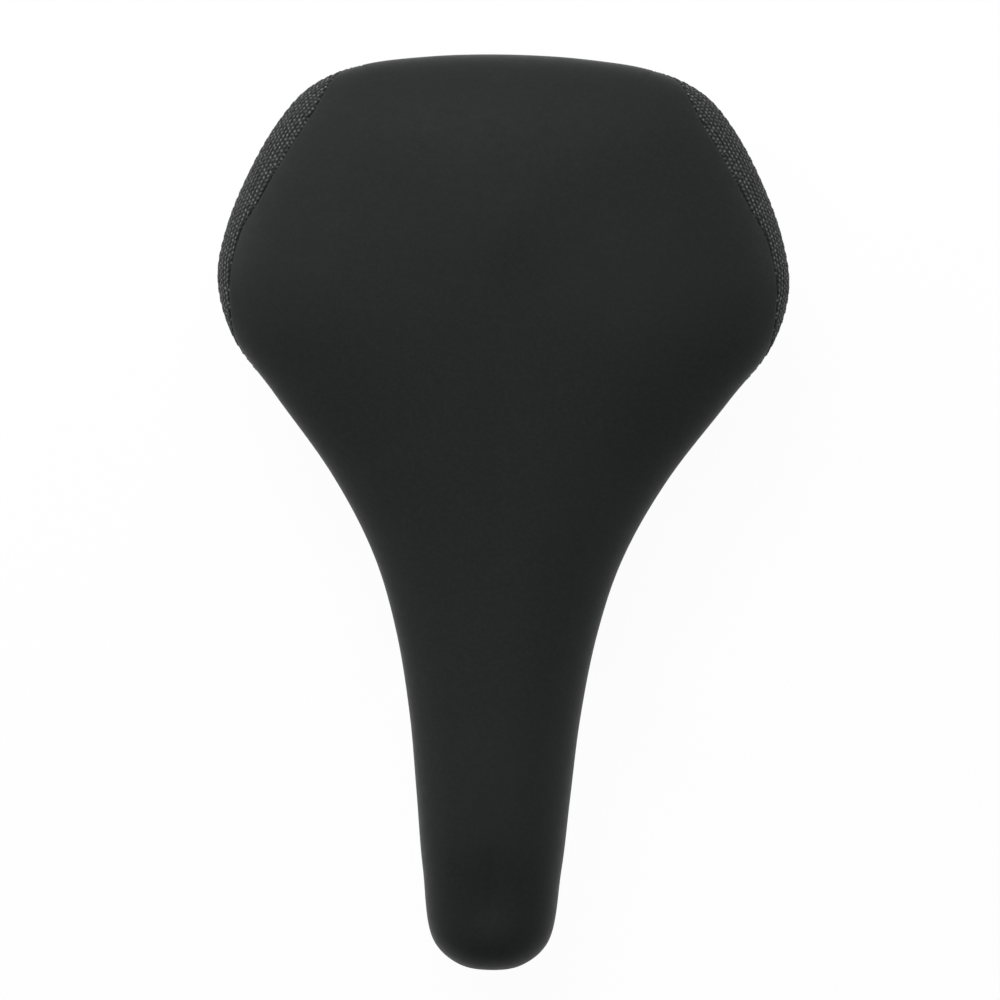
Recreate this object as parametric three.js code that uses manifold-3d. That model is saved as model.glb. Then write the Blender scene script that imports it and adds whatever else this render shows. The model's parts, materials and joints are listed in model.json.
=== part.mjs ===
// Bicycle saddle: a padded, sewn-cover saddle on a bent wire rail.
//
// Frame: millimetres, +Z up, nose towards -Y, tail towards +Y, +X to the rider's left.
// The origin is under the middle of the saddle, on the plane that the undersides of the rails lie in.
//
// From the outside in, the saddle is a smooth top cover with a textured panel sewn into each wing, a foam
// pad, and a moulded base shell. The cover's hem is turned under the shell's flange and stapled there.
// The rails are one wire. Its nose loop goes round a boss in the shell, under a plate with one screw. Its
// two tail ends sit in bushes, each clamped in a block of the shell by a cap and two screws.
import * as THREE from 'three';
import { mergeVertices } from 'three/addons/utils/BufferGeometryUtils.js';
import Module from 'manifold-3d';

const wasm = await Module();
wasm.setup();

// ---------- Driving dimensions ----------

const LENGTH = 270; // nose tip to tail
const WIDTH = 168; // across the wings
const NOSE_WIDTH = 41; // across the nose, behind its round tip
const HEIGHT = 82; // underside of the rails to the top of the tail

const FIT_GAP = 0.3; // clearance between pieces that touch
const COVER_THICKNESS = 1.4;
const FOAM_DEPTH = 14; // foam and cover over the middle of the shell
const SHELL_WALL = 2.6;
const RIB_THICKNESS = 2;
const RIB_DEPTH = 4;

const RAIL_DIAMETER = 7; // across the flats of the rail's faceted section
const RAIL_SPACING = 44; // between the centre lines in the clamp zone
const CLAMP_LENGTH = 70; // straight, level length of each rail
const RAIL_BEND = 16; // centre-line radius of the bends
const RAIL_SIDES = 12;
const BEND_STEP = 0.27; // radians from one facet of a bend to the next, at most
const TAIL_SPREAD = 68; // between the centre lines at the tail
const TAIL_RAIL_DROP = 36; // top of the saddle to the centre of the rail at the tail
const NOSE_RAIL_DROP = 38.5; // and at the nose loop

const SCREW_RADIUS = 2; // M4
const SCREW_HEAD_RADIUS = 3.8;
const SCREW_HEAD_HEIGHT = 2.4;
const SCREW_LENGTH = 11; // under the head
const SCREW_KEY = 2.5; // across the flats of the hexagon socket
const BOSS_WALL = 1.3; // round the nose screw
const CAP_THICKNESS = 3;
const BUSH_WALL = 1.8;
const BUSH_LENGTH = 17;
const BUSH_LIP = 1.5; // height and length of the lip at its front end
const BLOCK_LENGTH = 14; // of the tail blocks and their caps
const CORNER_RADIUS = 4; // of the caps and the nose plate

const STAPLES_PER_SIDE = 11;
const STAPLE_LENGTH = 9;
const STAPLE_WIRE = 0.7; // thickness of the flat wire
const STAPLE_WIDTH = 1.2;
const STAPLE_LEG = 3; // above the back of the staple

const mm = (share) => share * LENGTH; // a place along the saddle, as a share of its length

// ---------- Values worked out from those ----------

const RAIL_RADIUS = RAIL_DIAMETER / 2;
const BOSS_RADIUS = SCREW_RADIUS + BOSS_WALL;
const LOOP_RADIUS = BOSS_RADIUS + 2 * FIT_GAP + RAIL_RADIUS; // centre line of the nose loop
const NOSE_TUCK = 3; // how far the nose curls in under its edge
const NOSE_HEM = NOSE_WIDTH / 2 - NOSE_TUCK - LOOP_RADIUS - RAIL_RADIUS - 4 * FIT_GAP; // up to the loop
const UNDER_COVER = COVER_THICKNESS + FIT_GAP;

// ---------- The saddle's lines ----------

// Half of the plan outline, nose to tail. Each station is [x, y, spine]: a point of the outline, and
// the y on the centre line that its section is drawn from.
const nose = NOSE_WIDTH / 2;
const wing = WIDTH / 2;
const PLAN = [
  [0, -0.5, -0.433],
  [0.44 * nose, -0.4945, -0.43],
  [0.81 * nose, -0.4705, -0.42],
  [nose, -0.389, -0.367],
  [1.11 * nose, -0.307, -0.293],
  [1.23 * nose, -0.222, -0.207],
  [1.45 * nose, -0.13, -0.107],
  [0.438 * wing, -0.047, -0.004],
  [0.592 * wing, 0.041, 0.111],
  [0.8 * wing, 0.128, 0.2],
  [0.948 * wing, 0.191, 0.233],
  [wing, 0.25, 0.252],
  [0.974 * wing, 0.304, 0.267],
  [0.893 * wing, 0.369, 0.281],
  [0.793 * wing, 0.424, 0.294],
  [0.69 * wing, 0.46, 0.304],
  [0.528 * wing, 0.484, 0.313],
  [0.286 * wing, 0.496, 0.32],
  [0, 0.5, 0.324],
];
const STEPS = [3, 2, 2, 1, 1, 1, 2, 2, 2, 2, 2, 2, 2, 2, 2, 2, 2, 2]; // facets from each station to the next

// Lines along the saddle: [place along the length, value] pairs.
const TOP_DROP = line([-0.433, 12.5], [-0.35, 9.3], [-0.2, 9], [-0.05, 8], [0.1, 5], [0.25, 1.5], [0.324, 0]);
const RIM_DROP = line([-0.5, 27], [-0.4, 25], [0, 24], [0.25, 20], [0.5, 18]);
const HEM_DROP = line([-0.5, 43.5], [-0.4, 46], [-0.2, 48], [0, 46.5], [0.25, 40], [0.5, 33.5]);
const TUCK = line([-0.5, NOSE_TUCK], [-0.3, NOSE_TUCK], [0, 6], [0.25, 8], [0.5, 8]);
const HEM_WIDTH = line([-0.5, NOSE_HEM], [-0.38, NOSE_HEM], [-0.28, 4.2], [0, 6.5], [0.25, 7.5], [0.5, 7]);
const CROWN_POWER = line([-0.5, 2.4], [-0.2, 2.5], [0.1, 3], [0.25, 3.4], [0.5, 3]);
const SHELL_POWER = 2.6;

// The curl of the cover under the edge, as angles of a quarter ellipse. The shell's flange fills the
// curl from its top edge down, and the foam the part above that.
const CURL = [0, 27, 53, 72, 90].map(THREE.MathUtils.degToRad);
const FLANGE_ROW = 2;

// A smooth line through [place, value] pairs, flat at its two ends.
function line(...pairs) {
  const slope = pairs.map((p, i) => {
    const before = pairs[i - 1];
    const after = pairs[i + 1];
    return before && after ? (after[1] - before[1]) / (after[0] - before[0]) : 0;
  });
  return (y) => {
    const at = THREE.MathUtils.clamp(y / LENGTH, pairs[0][0], pairs.at(-1)[0]);
    const i = Math.min(pairs.findLastIndex((p) => p[0] <= at), pairs.length - 2);
    const [[a, va], [b, vb]] = [pairs[i], pairs[i + 1]];
    const w = b - a;
    const t = (at - a) / w;
    const rise = va * (1 + 2 * t) * (1 - t) ** 2 + vb * t * t * (3 - 2 * t);
    return rise + w * t * (1 - t) * (slope[i] * (1 - t) - slope[i + 1] * t);
  };
}

// Evenly spaced values from one to another, in a number of steps.
function spaced(from, to, count) {
  return Array.from({ length: count + 1 }, (_, i) => from + ((to - from) * i) / count);
}

// ---------- Stations round the outline ----------

const planPoints = PLAN.map(([x, y, spine]) => new THREE.Vector3(x, mm(y), mm(spine)));
const mirrored = planPoints.slice(1, -1).reverse().map((p) => new THREE.Vector3(-p.x, p.y, p.z));
const outline = new THREE.CatmullRomCurve3([...planPoints, ...mirrored], true);

// The station at a share of the way from the nose tip to the tail, on the +X side or its mirror.
function station(share, side = 1) {
  const point = outline.getPoint(share / 2);
  const along = outline.getTangent(share / 2);
  const turn = Math.hypot(along.x, along.y);
  const onAxis = share === 0 || share === 1;
  const normal = onAxis ? [0, share ? -1 : 1] : [-along.y / turn, along.x / turn];
  const y = point.y;
  const rim = HEIGHT - RIM_DROP(y);
  const hem = HEIGHT - HEM_DROP(y);
  return {
    share,
    spine: point.z,
    top: HEIGHT - TOP_DROP(point.z),
    rim,
    hem,
    tuck: TUCK(y),
    hemWidth: HEM_WIDTH(y),
    power: CROWN_POWER(y),
    web: TUCK(y) + HEM_WIDTH(y) - SHELL_WALL, // inset of the shell's upright web
    seat: rim - (rim - hem - UNDER_COVER) * Math.sin(CURL[FLANGE_ROW]), // top of the shell's flange
    // A point at an inset from the outline and a height.
    at: (inset, z) => new THREE.Vector3(
      onAxis ? 0 : side * (point.x + normal[0] * inset),
      y + normal[1] * inset,
      z,
    ),
    onSpine: (z) => new THREE.Vector3(0, point.z, z),
  };
}

const shares = STEPS.flatMap((n, i) => spaced(i, i + 1, n).slice(0, -1)).map((i) => i / STEPS.length);
const LOOP = [
  ...shares.map((share) => station(share)),
  station(1),
  ...shares.slice(1).reverse().map((share) => station(share, -1)),
];

// ---------- Sections ----------

const CROWN_ROWS = 8; // of the cover's outside
const INNER_ROWS = 6; // of its inside, and of the foam
const SHELL_ROWS = 4;

// Crown from the spine out to the rim, as a superellipse: flat in the middle, upright at the rim.
function crown(s, inset, top, base, power, rows) {
  return spaced(0, Math.PI / 2, rows).map((a) => crownPoint(s, inset, top, base, power, a));
}

function crownPoint(s, inset, top, base, power, angle) {
  const out = Math.sin(angle) ** (2 / power);
  return s.onSpine(0).lerp(s.at(inset, 0), out).setZ(base + (top - base) * Math.cos(angle));
}

// A point of the side below the rim: a quarter ellipse that curls in under the edge, at a depth.
function curlPoint(s, depth, angle) {
  return s.at(s.tuck - (s.tuck - depth) * Math.cos(angle), s.rim - (s.rim - s.hem - depth) * Math.sin(angle));
}

const curl = (s, depth, curlAngles) => curlAngles.map((a) => curlPoint(s, depth, a));

const coverSide = (s, depth, rows) => [
  ...crown(s, depth, s.top - depth, s.rim, s.power, rows),
  ...curl(s, depth, CURL.slice(1)),
  s.at(s.tuck + s.hemWidth, s.hem + depth),
];
const coverSection = (s) => [
  ...coverSide(s, 0, CROWN_ROWS),
  ...coverSide(s, COVER_THICKNESS, INNER_ROWS).reverse(),
];

const shellTop = (s, raise = 0) =>
  crown(s, s.web - raise, s.top - FOAM_DEPTH + raise, s.seat + raise, SHELL_POWER, SHELL_ROWS);

function foamSection(s) {
  const side = curl(s, UNDER_COVER, CURL.slice(0, FLANGE_ROW + 1));
  const [above, edge] = side.slice(-2);
  const lift = FIT_GAP / (above.z - edge.z);
  return [
    ...crown(s, UNDER_COVER, s.top - UNDER_COVER, s.rim, s.power, INNER_ROWS),
    ...side.slice(1, -1),
    edge.lerp(above, lift),
    ...shellTop(s, 1.5 * FIT_GAP).reverse(),
  ];
}

const shellSection = (s) => [
  ...shellTop(s),
  ...curl(s, UNDER_COVER, CURL.slice(FLANGE_ROW)),
  ...crown(
    s, s.web + SHELL_WALL, s.top - FOAM_DEPTH - SHELL_WALL, s.hem + UNDER_COVER, SHELL_POWER, SHELL_ROWS,
  ).reverse(),
];

// All that lies under the shell's crown, from a depth inside it down to a floor.
const underCrown = (depth, floor) => (s) => [
  ...crown(s, s.web + depth, s.top - FOAM_DEPTH - depth, s.seat, SHELL_POWER, SHELL_ROWS),
  s.at(s.web + depth, floor(s)),
  s.onSpine(floor(s)),
];

// ---------- Solids ----------

const geometryOf = (points, triangles) => new THREE.BufferGeometry().setFromPoints(points).setIndex(triangles);

// A closed three.js geometry as a manifold solid, with its shared vertices merged.
function solidOf(geometry, matrix = new THREE.Matrix4()) {
  const bare = new THREE.BufferGeometry().setAttribute('position', geometry.getAttribute('position').clone());
  if (geometry.index) bare.setIndex(geometry.index);
  const merged = mergeVertices(bare.applyMatrix4(matrix), 1e-4);
  const index = merged.index.array;
  const triVerts = [];
  for (let i = 0; i < index.length; i += 3) {
    const [a, b, c] = index.slice(i, i + 3);
    if (a !== b && b !== c && c !== a) triVerts.push(a, b, c);
  }
  return new wasm.Manifold(new wasm.Mesh({
    numProp: 3,
    vertProperties: new Float32Array(merged.getAttribute('position').array),
    triVerts: new Uint32Array(triVerts),
  }));
}

function geometryFrom(solid) {
  const { vertProperties, triVerts } = solid.getMesh();
  const geometry = new THREE.BufferGeometry()
    .setAttribute('position', new THREE.BufferAttribute(vertProperties, 3))
    .setIndex(new THREE.BufferAttribute(triVerts, 1));
  geometry.computeVertexNormals();
  return geometry;
}

const union = (first, ...others) => others.reduce((a, b) => a.add(b), first);
const without = (solid, cuts) => cuts.reduce((a, b) => a.subtract(b), solid);

// One closed body from a section at every station of the loop. Left and right meet along the spine.
function loft(section) {
  const sections = LOOP.map(section);
  const rows = sections[0].length;
  const triangles = [];
  for (let i = 0; i < sections.length; i++) {
    const a = i * rows;
    const b = ((i + 1) % sections.length) * rows;
    for (let k = 0; k < rows - 1; k++) {
      triangles.push(a + k, a + k + 1, b + k, b + k, a + k + 1, b + k + 1);
    }
  }
  return solidOf(geometryOf(sections.flat(), triangles));
}

// A solid from a convex section [[across, up], ...] carried along places that give their own two axes.
// Each of its side faces is split along its shorter diagonal.
function sweep(places, section) {
  const points = places.flatMap(({ at, across, up }) =>
    section.map(([a, u]) => at.clone().addScaledVector(across, a).addScaledVector(up, u)));
  const n = section.length;
  const last = points.length - n;
  const triangles = [];
  for (let i = 0; i < last; i += n) {
    for (let k = 0; k < n; k++) {
      const [a, b] = [i + k, i + ((k + 1) % n)];
      const shorter = points[a].distanceTo(points[b + n]) < points[b].distanceTo(points[a + n]);
      if (shorter) triangles.push(a, b, b + n, a, b + n, a + n);
      else triangles.push(a, b, a + n, a + n, b, b + n);
    }
  }
  for (let k = 1; k < n - 1; k++) {
    triangles.push(0, k + 1, k, last, last + k, last + k + 1);
  }
  return solidOf(geometryOf(points, triangles));
}

// A box between two corners.
function boxBetween([x0, y0, z0], [x1, y1, z1], matrix) {
  const box = new THREE.BoxGeometry(x1 - x0, y1 - y0, z1 - z0);
  return solidOf(box.translate((x0 + x1) / 2, (y0 + y1) / 2, (z0 + z1) / 2), matrix);
}

// A round upright post between two heights.
function post([x, y], z0, z1, radius, sides = 16) {
  const bar = new THREE.CylinderGeometry(radius, radius, z1 - z0, sides).rotateX(Math.PI / 2);
  return solidOf(bar.translate(x, y, (z0 + z1) / 2));
}

// The corners of a regular section with flats square to its axes, from the distance to its flats.
function facets(apothem) {
  const corner = apothem / Math.cos(Math.PI / RAIL_SIDES);
  return Array.from({ length: RAIL_SIDES }, (_, i) => {
    const a = ((2 * i + 1) * Math.PI) / RAIL_SIDES;
    return [corner * Math.cos(a), corner * Math.sin(a)];
  });
}

// A bar of that section along y, from y0 to y1, centred at x and z.
function barAlongY([x, z], y0, y1, apothem) {
  const section = new THREE.Shape(facets(apothem).map(([a, u]) => new THREE.Vector2(a, u)));
  const bar = new THREE.ExtrudeGeometry(section, { depth: y1 - y0, bevelEnabled: false });
  return solidOf(bar.rotateX(-Math.PI / 2).translate(x, y0, z));
}

// A flat plate with rounded corners, centred on x and y, between two heights.
function plate([x, y], width, length, z0, z1) {
  const [a, b, r] = [width / 2, length / 2, CORNER_RADIUS];
  const shape = new THREE.Shape();
  shape.absarc(a - r, b - r, r, 0, Math.PI / 2);
  shape.absarc(r - a, b - r, r, Math.PI / 2, Math.PI);
  shape.absarc(r - a, r - b, r, Math.PI, 1.5 * Math.PI);
  shape.absarc(a - r, r - b, r, 1.5 * Math.PI, 2 * Math.PI);
  const slab = new THREE.ExtrudeGeometry(shape, { depth: z1 - z0, bevelEnabled: false, curveSegments: 3 });
  return solidOf(slab.translate(x, y, z0));
}

// ---------- Rails ----------

const SIDES = { left: 1, right: -1 };
const Z = new THREE.Vector3(0, 0, 1);
const TAIL_X = TAIL_SPREAD / 2;
const TAIL_Z = HEIGHT - TAIL_RAIL_DROP;
const NOSE_Z = HEIGHT - NOSE_RAIL_DROP;
const BOSS_Y = mm(-0.361);
const PLATE_BACK = SCREW_HEAD_RADIUS + 1; // how far the nose plate reaches behind the boss's centre
const PLATE_FRONT = LOOP_RADIUS + RAIL_RADIUS; // and in front of it
const BLOCK_Y = mm(0.359); // middle of the tail blocks
const BLOCK_FRONT = BLOCK_Y - BLOCK_LENGTH / 2;
const BUSH_FRONT = BLOCK_FRONT - FIT_GAP - BUSH_LIP;
const BUSH_BACK = BUSH_FRONT + BUSH_LENGTH;
const RAIL_END = BUSH_BACK + 3;

const bendRun = (degrees) => RAIL_BEND * Math.tan(THREE.MathUtils.degToRad(degrees / 2));
const MOST_BEND = bendRun(65); // what the steepest bend takes of the rail on each side of its corner
const CLAMP_CORNER = CLAMP_LENGTH / 2 + bendRun(55);

// The left half of the wire from its tail end to the nose loop, as corners [x, y, z, bend radius]. It
// spreads from the loop to the clamp zone only once it is below the hem.
const noseBend = BOSS_Y + PLATE_BACK + MOST_BEND;
const towardsClamp = (from, to) => THREE.MathUtils.lerp(from, to, 0.36);
const railHalf = [
  [TAIL_X, RAIL_END, TAIL_Z, 0],
  [TAIL_X, BUSH_FRONT - MOST_BEND, TAIL_Z, RAIL_BEND],
  [RAIL_SPACING / 2, CLAMP_CORNER, RAIL_RADIUS, RAIL_BEND],
  [RAIL_SPACING / 2, -CLAMP_CORNER, RAIL_RADIUS, RAIL_BEND],
  [LOOP_RADIUS + 1, towardsClamp(noseBend, -CLAMP_CORNER), towardsClamp(NOSE_Z, RAIL_RADIUS), RAIL_BEND],
  [LOOP_RADIUS, noseBend, NOSE_Z, RAIL_BEND],
  [LOOP_RADIUS, BOSS_Y - LOOP_RADIUS, NOSE_Z, LOOP_RADIUS],
];
const railCorners = [...railHalf, ...railHalf.toReversed().map(([x, ...rest]) => [-x, ...rest])];

// Places along a path through corners, rounded at each: a point, the direction there, and two axes.
function bentPath(corners) {
  const points = corners.map(([x, y, z]) => new THREE.Vector3(x, y, z));
  const toNext = points.slice(1).map((point, i) => point.clone().sub(points[i]).normalize());
  const stops = [{ at: points[0], along: toNext[0] }];
  for (let i = 1; i < points.length - 1; i++) {
    const [into, out, radius] = [toNext[i - 1], toNext[i], corners[i][3]];
    const turn = into.angleTo(out);
    const inwards = out.clone().addScaledVector(into, -Math.cos(turn)).normalize();
    const start = points[i].clone().addScaledVector(into, -radius * Math.tan(turn / 2));
    for (const a of spaced(0, turn, Math.ceil(turn / BEND_STEP))) {
      const at = start.clone().addScaledVector(into, radius * Math.sin(a));
      at.addScaledVector(inwards, radius * (1 - Math.cos(a)));
      const along = into.clone().multiplyScalar(Math.cos(a)).addScaledVector(inwards, Math.sin(a));
      stops.push({ at, along });
    }
  }
  stops.push({ at: points.at(-1), along: toNext.at(-1) });
  return stops.map(({ at, along }) => {
    const across = Z.clone().cross(along).normalize();
    return { at, across, up: along.clone().cross(across) };
  });
}

const railWire = sweep(bentPath(railCorners), facets(RAIL_RADIUS));

// ---------- What holds the rails ----------

const BUSH_RADIUS = RAIL_RADIUS + FIT_GAP + BUSH_WALL;
const CAP_SCREW_X = BUSH_RADIUS + 2 * FIT_GAP + SCREW_RADIUS + 1.2; // from the centre of the rail
const CAP_WIDTH = 2 * (CAP_SCREW_X + SCREW_HEAD_RADIUS + 0.5);
const CAP_BOTTOM = TAIL_Z - BUSH_RADIUS - FIT_GAP - CAP_THICKNESS;
const PLATE_TOP = NOSE_Z - RAIL_RADIUS - FIT_GAP;
const PLATE_WIDTH = 2 * (LOOP_RADIUS + RAIL_RADIUS);
const PLATE_Y = BOSS_Y + (PLATE_BACK - PLATE_FRONT) / 2;

// Screws come from below: the place of each, with the height of the underside of its head.
const SCREWS = { nose_screw: [0, BOSS_Y, PLATE_TOP - CAP_THICKNESS - FIT_GAP] };
for (const [name, side] of Object.entries(SIDES)) {
  for (const [place, way] of [['inner', -1], ['outer', 1]]) {
    SCREWS[`tail_screw_${name}_${place}`] = [
      side * (TAIL_X + way * CAP_SCREW_X), BLOCK_Y, CAP_BOTTOM - FIT_GAP,
    ];
  }
}

const screwHoles = Object.values(SCREWS).map(([x, y, z]) =>
  post([x, y], z - 1, z + SCREW_LENGTH + 1, SCREW_RADIUS + FIT_GAP));

// A screw with its head's underside at its own origin.
function screw() {
  const [r, head, low] = [SCREW_RADIUS, SCREW_HEAD_RADIUS, -SCREW_HEAD_HEIGHT];
  const profile = [[0, low], [head - 0.8, low], [head, low + 0.8], [head, 0], [r, 0], [r, SCREW_LENGTH - 1],
    [r - 1, SCREW_LENGTH], [0, SCREW_LENGTH]];
  const turned = new THREE.LatheGeometry(profile.map(([x, y]) => new THREE.Vector2(x, y)), 16);
  const socket = post([0, 0], low - 1, -0.8, SCREW_KEY / Math.sqrt(3), 6);
  return geometryFrom(solidOf(turned.rotateX(Math.PI / 2)).subtract(socket));
}

// The sleeve round a tail end of the wire, with a lip at its front, in front of the block.
function bush(side) {
  const centre = [side * TAIL_X, TAIL_Z];
  return barAlongY(centre, BUSH_FRONT, BUSH_BACK, BUSH_RADIUS)
    .add(barAlongY(centre, BUSH_FRONT, BUSH_FRONT + BUSH_LIP, BUSH_RADIUS + BUSH_LIP))
    .subtract(barAlongY(centre, BUSH_FRONT - 1, BUSH_BACK + 1, RAIL_RADIUS + FIT_GAP));
}

const bushHoles = Object.values(SIDES).map((side) =>
  barAlongY([side * TAIL_X, TAIL_Z], BLOCK_FRONT - 1, RAIL_END + 1, BUSH_RADIUS + FIT_GAP));

const tailCap = (side) => without(
  plate([side * TAIL_X, BLOCK_Y], CAP_WIDTH, BLOCK_LENGTH, CAP_BOTTOM, TAIL_Z - FIT_GAP / 2),
  [...bushHoles, ...screwHoles],
);
const nosePlate = without(
  plate([0, PLATE_Y], PLATE_WIDTH, PLATE_BACK + PLATE_FRONT, PLATE_TOP - CAP_THICKNESS, PLATE_TOP),
  screwHoles,
);

// ---------- Staples ----------

// A staple along x with its legs up, and the underside of its back at its own origin.
function staple() {
  const [half, t, top] = [STAPLE_LENGTH / 2, STAPLE_WIRE, STAPLE_WIRE + STAPLE_LEG];
  const corners = [[-half, 0], [half, 0], [half, top], [half - t, top], [half - t, t], [t - half, t],
    [t - half, top], [-half, top]];
  const shape = new THREE.Shape(corners.map(([x, y]) => new THREE.Vector2(x, y)));
  const wire = new THREE.ExtrudeGeometry(shape, { depth: STAPLE_WIDTH, bevelEnabled: false });
  return geometryFrom(solidOf(wire.rotateX(Math.PI / 2).translate(0, STAPLE_WIDTH / 2, 0)));
}

// The matrix that stands a staple on the hem, at a distance round the outline from the nose tip.
function onHem(distance, side) {
  const hemAt = (d) => {
    const s = station(2 * outline.getUtoTmapping(d / outline.getLength()), side);
    return s.at(s.tuck + s.hemWidth / 2, s.hem);
  };
  const [back, front] = [hemAt(distance - STAPLE_LENGTH / 2), hemAt(distance + STAPLE_LENGTH / 2)];
  const along = front.clone().sub(back).normalize();
  const across = Z.clone().cross(along).normalize();
  const up = along.clone().cross(across);
  const middle = hemAt(distance);
  middle.z = Math.min(middle.z, (back.z + front.z) / 2);
  middle.addScaledVector(up, -STAPLE_WIRE - FIT_GAP);
  return new THREE.Matrix4().makeBasis(along, across, up).setPosition(middle);
}

const staplePlaces = spaced(0.5, STAPLES_PER_SIDE - 0.5, STAPLES_PER_SIDE - 1).flatMap((i) => {
  const distance = (i * outline.getLength()) / 2 / STAPLES_PER_SIDE;
  return Object.values(SIDES).map((side) => onHem(distance, side));
});

const stapleSlots = staplePlaces.flatMap((place) => Object.values(SIDES).map((side) => {
  const middle = (side * (STAPLE_LENGTH - STAPLE_WIRE)) / 2;
  const [a, b] = [STAPLE_WIRE / 2 + FIT_GAP, STAPLE_WIDTH / 2 + FIT_GAP];
  const low = STAPLE_WIRE / 2;
  return boxBetween([middle - a, -b, low], [middle + a, b, STAPLE_WIRE + STAPLE_LEG + FIT_GAP], place);
}));

// ---------- Base shell ----------

const hollow = loft(underCrown(SHELL_WALL / 2, () => 0));
const ribSpace = loft(underCrown(SHELL_WALL / 2, (s) => s.hem + UNDER_COVER + 1))
  .subtract(loft(underCrown(SHELL_WALL + RIB_DEPTH, () => 0)));
const ribs = [
  ...[-0.14, 0.02, 0.18].map((y) => [[-WIDTH, mm(y), 0], [WIDTH, mm(y) + RIB_THICKNESS, HEIGHT]]),
  ...[-0.085, 0, 0.085].map((x) => [
    [mm(x) - RIB_THICKNESS / 2, mm(x ? 0.1 : -0.25), 0],
    [mm(x) + RIB_THICKNESS / 2, mm(0.45), HEIGHT],
  ]),
].map(([from, to]) => ribSpace.intersect(boxBetween(from, to)));

const noseBlock = hollow.intersect(boxBetween(
  [-WIDTH, BOSS_Y - 2 * LOOP_RADIUS, NOSE_Z + RAIL_RADIUS + FIT_GAP],
  [WIDTH, BOSS_Y + LOOP_RADIUS, HEIGHT],
));
const boss = post([0, BOSS_Y], PLATE_TOP + FIT_GAP, NOSE_Z + RAIL_DIAMETER, BOSS_RADIUS);
const tailBlocks = Object.values(SIDES).map((side) => hollow.intersect(boxBetween(
  [side * TAIL_X - CAP_WIDTH / 2, BLOCK_FRONT, TAIL_Z + FIT_GAP / 2],
  [side * TAIL_X + CAP_WIDTH / 2, BLOCK_FRONT + BLOCK_LENGTH, HEIGHT],
)));

const baseShell = without(
  union(loft(shellSection), ...ribs, noseBlock, boss, ...tailBlocks),
  [...bushHoles, ...screwHoles, ...stapleSlots],
);

// ---------- Cover ----------

// A seam's way round the wing: [share of the way from nose to tail, place on the section]. The section
// runs from 0 on the spine to 1 at the rim, 2 at the bottom of the curl and 3 at the end of the hem.
const SEAM = [
  [0.462, 3.15],
  [0.47, 2.8],
  [0.486, 2],
  [0.508, 1.25],
  [0.525, 1.02],
  [0.545, 0.96],
  [0.565, 0.86],
  [0.59, 0.785],
  [0.625, 0.74],
  [0.665, 0.72],
  [0.7, 0.665],
  [0.75, 0.645],
  [0.8, 0.655],
  [0.83, 0.7],
  [0.85, 0.785],
  [0.868, 0.9],
  [0.884, 0.99],
  [0.895, 1.4],
  [0.912, 2.2],
  [0.93, 2.8],
  [0.936, 3.15],
];
const SEAM_STEPS = 36;

// A point of the cover at a share of the way from nose to tail, a place on its section and a depth.
function onCover(share, place, depth, side) {
  const s = station(share, side);
  if (place <= 1) return crownPoint(s, depth, s.top - depth, s.rim, s.power, (place * Math.PI) / 2);
  if (place <= 2) return curlPoint(s, depth, ((place - 1) * Math.PI) / 2);
  return s.at(s.tuck + (place - 2) * s.hemWidth, s.hem + depth);
}

// The seam between a side panel and the top panel, as a thin blade that cuts through the cover.
function seamBlade(side) {
  const seam = new THREE.CatmullRomCurve3(SEAM.map(([share, place]) => new THREE.Vector3(share, place, 0)));
  const stops = spaced(0, 1, SEAM_STEPS).map((t) => seam.getPoint(t));
  const middles = stops.map(({ x, y }) => onCover(x, y, COVER_THICKNESS / 2, side));
  const places = stops.map(({ x, y }, i) => {
    const at = middles[i];
    const up = onCover(x, y, 0, side).sub(onCover(x, y, COVER_THICKNESS, side)).normalize();
    const along = (middles[i + 1] ?? at).clone().sub(middles[i - 1] ?? at);
    return { at, up, across: up.clone().cross(along).normalize() };
  });
  const [w, h] = [FIT_GAP / 2, 1.3 * COVER_THICKNESS];
  return sweep(places, [[w, -h], [w, h], [-w, h], [-w, -h]]);
}

const cover = without(loft(coverSection), [...stapleSlots, ...Object.values(SIDES).map(seamBlade)]);
const middleX = (solid) => (solid.boundingBox().min[0] + solid.boundingBox().max[0]) / 2;
const [rightPanel, topPanel, leftPanel] = cover.decompose().toSorted((a, b) => middleX(a) - middleX(b));

// ---------- The parts and their looks ----------

const LOOKS = {
  smooth: { color: 0x2c2d2d, roughness: 0.6, metalness: 0 },
  knit: { color: 0x222323, roughness: 0.85, metalness: 0 },
  foam: { color: 0x8c8a80, roughness: 0.95, metalness: 0 },
  shell: { color: 0x161718, roughness: 0.55, metalness: 0 },
  steel: { color: 0x9a9c9e, roughness: 0.35, metalness: 1 },
  rubber: { color: 0x1a1a1a, roughness: 0.9, metalness: 0 },
};

function part(name, geometry, look) {
  const mesh = new THREE.Mesh(geometry, new THREE.MeshStandardMaterial(LOOKS[look]));
  mesh.name = name;
  return mesh;
}

const padding = new THREE.Group().add(
  part('cover_top', geometryFrom(topPanel), 'smooth'),
  part('side_panel_left', geometryFrom(leftPanel), 'knit'),
  part('side_panel_right', geometryFrom(rightPanel), 'knit'),
  part('foam_pad', geometryFrom(loft(foamSection)), 'foam'),
);

const frame = new THREE.Group().add(
  part('base_shell', geometryFrom(baseShell), 'shell'),
  part('rail_wire', geometryFrom(railWire), 'steel'),
  part('nose_plate', geometryFrom(nosePlate), 'steel'),
);
for (const [name, side] of Object.entries(SIDES)) {
  frame.add(part(`tail_bush_${name}`, geometryFrom(bush(side)), 'rubber'));
  frame.add(part(`tail_cap_${name}`, geometryFrom(tailCap(side)), 'steel'));
}

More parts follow.
